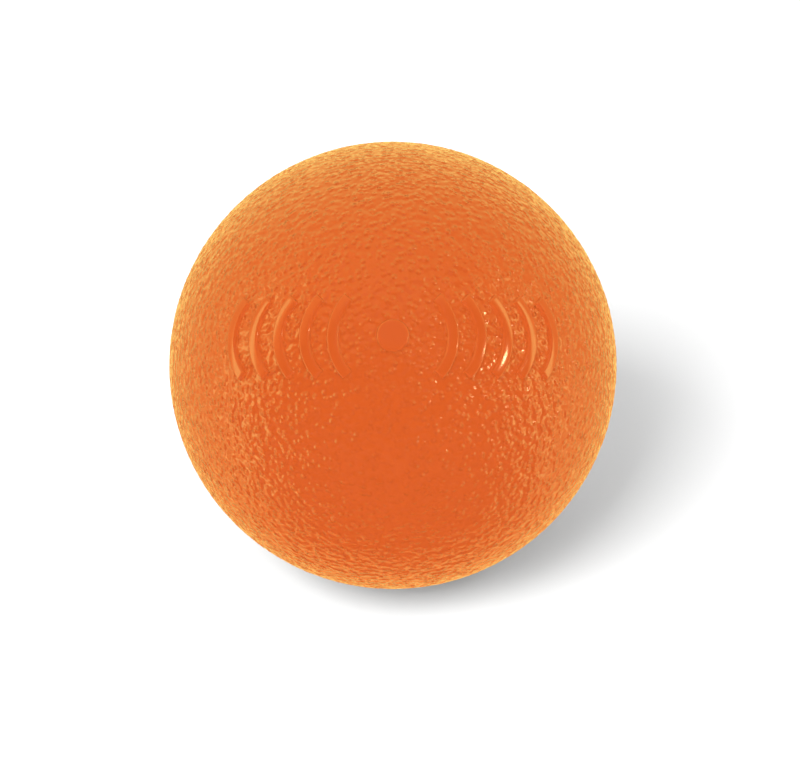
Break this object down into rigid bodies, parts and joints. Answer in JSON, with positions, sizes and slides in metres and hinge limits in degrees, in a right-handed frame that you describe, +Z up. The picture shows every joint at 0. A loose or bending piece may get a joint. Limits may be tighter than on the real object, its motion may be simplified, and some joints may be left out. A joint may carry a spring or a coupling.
{
  "type": "stress ball",
  "caption": "Hollow moulded rubber squeeze ball with a wrinkled skin, raised sound-wave marks, a bonded equator seam and a reed squeaker in its base.",
  "frame": {"origin": "centre of the flat ring around the squeaker port, on the surface that the ball stands on", "axes": "+Z up through the port and both cups, the axis that the cups are moulded about; -Y towards the viewer, the side with the raised marks; +X to the viewer's right"},
  "size_m": [0.076, 0.076, 0.0749],
  "materials": {
    "ball_rubber": "satin",
    "bond": "satin",
    "squeaker_plastic": "gloss",
    "reed_plastic": "gloss",
    "reed_brass": "polished"
  },
  "bodies": {
    "base": {"lower_cup": "ball_rubber", "seam_bond": "bond", "squeaker_housing": "squeaker_plastic", "squeaker_cap": "squeaker_plastic", "reed_sleeve": "reed_plastic", "reed_channel": "reed_plastic", "reed_wedge": "reed_plastic"},
    "crown": {"upper_cup": "ball_rubber"},
    "reed": {"reed": "reed_brass"}
  },
  "joints": [
    {"name": "squeeze", "type": "slide", "parent": "base", "child": "crown", "axis": [0, 0, -1], "range_m": [0, 0.015], "stiffness_N_per_m": 6000, "deforming": ["upper_cup", "lower_cup"]},
    {"name": "reed_flutter", "type": "hinge", "parent": "base", "child": "reed", "pos_m": [0, 0, 0.0112], "axis": [0, 1, 0], "range_deg": [-1.5, 6], "stiffness_Nm_per_rad": 0.00005}
  ]
}
